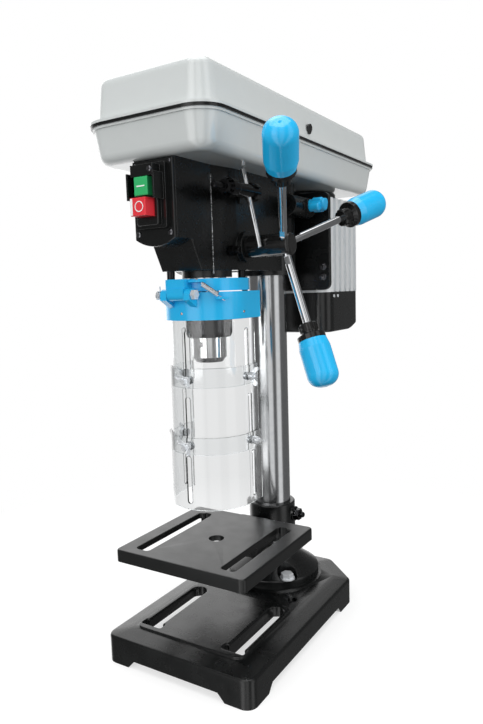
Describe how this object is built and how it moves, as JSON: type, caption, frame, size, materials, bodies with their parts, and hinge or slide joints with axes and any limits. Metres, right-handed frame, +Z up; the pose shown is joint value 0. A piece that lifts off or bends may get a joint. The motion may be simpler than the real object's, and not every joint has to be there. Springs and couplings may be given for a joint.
{
  "type": "pillar drill",
  "caption": "Bench pillar drill with a belt-driven spindle, three-spoke feed, keyed chuck, tilting table, slotted base and a clear telescopic chuck guard.",
  "frame": {"origin": "centre of the base's rectangle at bench level", "axes": "+X to the operator's right, where the feed handle is; +Y to the back, towards the motor; +Z up"},
  "size_m": [0.2308, 0.4259, 0.5925],
  "materials": {
    "black_casting": "black semi-gloss paint on cast iron",
    "black_paint": "black semi-gloss paint on sheet steel",
    "grey_paint": "pale grey satin paint on pressed sheet",
    "blue_plastic": "bright blue moulded plastic",
    "black_plastic": "black moulded plastic",
    "green_plastic": "green moulded plastic with a white mark",
    "red_plastic": "red moulded plastic with a white mark",
    "clear_plastic": "clear moulded plastic",
    "bright_steel": "bright ground steel",
    "dark_steel": "blackened steel",
    "chrome": "polished chrome plate",
    "zinc": "bright zinc plate",
    "spring_steel": "bright spring wire",
    "aluminium": "satin cast or extruded aluminium",
    "rubber": "black rubber"
  },
  "bodies": {
    "frame": {"base": "black_casting", "column_flange": "black_casting", "flange_bolts": "zinc", "column": "bright_steel", "head": "black_casting", "switch_plate": "black_plastic", "switch_body": "black_plastic", "quill_guide_screw": "dark_steel", "key_clip": "black_plastic", "spring_cover": "black_plastic", "return_spring": "spring_steel", "cover_pan": "grey_paint", "lid_seal": "rubber", "lid_hinge_pins": "bright_steel", "guard_ring": "blue_plastic", "guard_posts": "dark_steel", "guard_hinge_pin": "zinc", "guard_torsion_spring": "spring_steel", "guard_spring": "spring_steel", "drive_belt": "rubber"},
    "bracket": {"table_bracket": "black_casting", "table_tilt_bolt": "dark_steel"},
    "table_lock": {"table_lock": "dark_steel"},
    "table": {"table": "black_casting"},
    "quill": {"quill": "bright_steel", "quill_bearings": "bright_steel"},
    "spindle": {"spindle": "bright_steel", "chuck_body": "bright_steel"},
    "chuck_sleeve": {"chuck_sleeve": "dark_steel"},
    "chuck_jaw_1": {"chuck_jaw_1": "dark_steel"},
    "chuck_jaw_2": {"chuck_jaw_2": "dark_steel"},
    "chuck_jaw_3": {"chuck_jaw_3": "dark_steel"},
    "spindle_pulley": {"spindle_pulley": "aluminium"},
    "feed": {"feed_shaft": "dark_steel", "feed_hub": "black_casting", "feed_spokes": "chrome", "knob_collars": "black_plastic", "feed_knobs": "blue_plastic"},
    "motor": {"motor_plate": "black_paint", "motor_slide_rods": "dark_steel", "motor_body": "aluminium", "motor_end_cap": "black_plastic", "motor_top_bell": "black_paint", "cord_gland": "rubber"},
    "motor_rotor": {"motor_shaft": "bright_steel", "motor_pulley": "aluminium"},
    "tension_knob": {"tension_knob": "blue_plastic"},
    "lid": {"cover_lid": "grey_paint"},
    "lid_lock": {"lid_lock": "black_plastic"},
    "start_button": {"start_button": "green_plastic"},
    "stop_button": {"stop_button": "red_plastic"},
    "guard": {"guard_skirt": "blue_plastic", "guard_upper": "clear_plastic"},
    "guard_middle": {"guard_middle": "clear_plastic", "guard_middle_screws": "zinc"},
    "guard_lower": {"guard_lower": "clear_plastic", "guard_lower_screws": "zinc"},
    "chuck_key": {"chuck_key": "dark_steel", "key_bar": "chrome"}
  },
  "joints": [
    {"name": "table_height", "type": "slide", "parent": "frame", "child": "bracket", "axis": [0, 0, 1], "range_m": [-0.005, 0.04]},
    {"name": "table_tilt", "type": "hinge", "parent": "bracket", "child": "table", "pos_m": [0, 0.026, 0.094], "axis": [0, 1, 0], "range_deg": [-45, 45]},
    {"name": "table_lock_turn", "type": "hinge", "parent": "bracket", "child": "table_lock", "pos_m": [0.03, 0.072, 0.114], "axis": [1, 0, 0], "range_deg": [-90, 90]},
    {"name": "quill_slide", "type": "slide", "parent": "frame", "child": "quill", "axis": [0, 0, -1], "range_m": [0, 0.05], "stiffness_N_per_m": 150, "springref_m": -0.2},
    {"name": "feed_turn", "type": "hinge", "parent": "frame", "child": "feed", "pos_m": [0, -0.0335, 0.4355], "axis": [1, 0, 0], "range_deg": [0, 328]},
    {"name": "spindle_pulley_spin", "type": "hinge", "parent": "frame", "child": "spindle_pulley", "pos_m": [0, -0.06, 0.54], "axis": [0, 0, 1], "continuous": true},
    {"name": "spindle_spin", "type": "hinge", "parent": "quill", "child": "spindle", "pos_m": [0, -0.06, 0.4], "axis": [0, 0, 1], "continuous": true},
    {"name": "motor_spin", "type": "hinge", "parent": "motor", "child": "motor_rotor", "pos_m": [0, 0.172, 0.54], "axis": [0, 0, 1], "continuous": true},
    {"name": "chuck_sleeve_turn", "type": "hinge", "parent": "spindle", "child": "chuck_sleeve", "pos_m": [0, -0.06, 0.355], "axis": [0, 0, 1], "range_deg": [0, 1080]},
    {"name": "chuck_jaw_1_slide", "type": "slide", "parent": "spindle", "child": "chuck_jaw_1", "axis": [0, -0.2588, -0.9659], "range_m": [0, 0.0235]},
    {"name": "chuck_jaw_2_slide", "type": "slide", "parent": "spindle", "child": "chuck_jaw_2", "axis": [0.2241, 0.1294, -0.9659], "range_m": [0, 0.0235]},
    {"name": "chuck_jaw_3_slide", "type": "slide", "parent": "spindle", "child": "chuck_jaw_3", "axis": [-0.2241, 0.1294, -0.9659], "range_m": [0, 0.0235]},
    {"name": "motor_slide", "type": "slide", "parent": "frame", "child": "motor", "axis": [0, 1, 0], "range_m": [-0.006, 0.01], "deforming": ["drive_belt"]},
    {"name": "tension_lock_turn", "type": "hinge", "parent": "frame", "child": "tension_knob", "pos_m": [0.06, 0.075, 0.485], "axis": [1, 0, 0], "range_deg": [-90, 90]},
    {"name": "lid_hinge", "type": "hinge", "parent": "frame", "child": "lid", "pos_m": [-0.077, 0.0495, 0.5483], "axis": [0, -1, 0], "range_deg": [0, 100]},
    {"name": "lid_lock_turn", "type": "hinge", "parent": "lid", "child": "lid_lock", "pos_m": [0.06, 0.053, 0.5655], "axis": [1, 0, 0], "range_deg": [-90, 90]},
    {"name": "start_button_press", "type": "slide", "parent": "frame", "child": "start_button", "axis": [0, 1, 0], "range_m": [0, 0.003], "stiffness_N_per_m": 400, "springref_m": -0.002},
    {"name": "stop_button_press", "type": "slide", "parent": "frame", "child": "stop_button", "axis": [0, 1, 0], "range_m": [0, 0.003], "stiffness_N_per_m": 400, "springref_m": -0.002},
    {"name": "guard_flip", "type": "hinge", "parent": "frame", "child": "guard", "pos_m": [0, -0.109, 0.3885], "axis": [-1, 0, 0], "range_deg": [0, 95], "stiffness_Nm_per_rad": 0.08, "springref_deg": -114.59, "deforming": ["guard_spring", "guard_torsion_spring"]},
    {"name": "guard_middle_slide", "type": "slide", "parent": "guard", "child": "guard_middle", "axis": [0, 0, 1], "range_m": [0, 0.045]},
    {"name": "guard_lower_slide", "type": "slide", "parent": "guard_middle", "child": "guard_lower", "axis": [0, 0, -1], "range_m": [-0.045, 0]},
    {"name": "chuck_key_pull", "type": "slide", "parent": "frame", "child": "chuck_key", "axis": [0, -1, 0], "range_m": [0, 0.16]}
  ],
  "couplings": [
    {"joint": "feed_turn", "follows": "quill_slide", "rad_per_m": 114.29},
    {"joint": "spindle_spin", "follows": "spindle_pulley_spin", "ratio": 1},
    {"joint": "motor_spin", "follows": "spindle_pulley_spin", "ratio": 1.1475},
    {"joint": "chuck_jaw_1_slide", "follows": "chuck_sleeve_turn", "m_per_rad": 0.0012467},
    {"joint": "chuck_jaw_2_slide", "follows": "chuck_sleeve_turn", "m_per_rad": 0.0012467},
    {"joint": "chuck_jaw_3_slide", "follows": "chuck_sleeve_turn", "m_per_rad": 0.0012467}
  ]
}
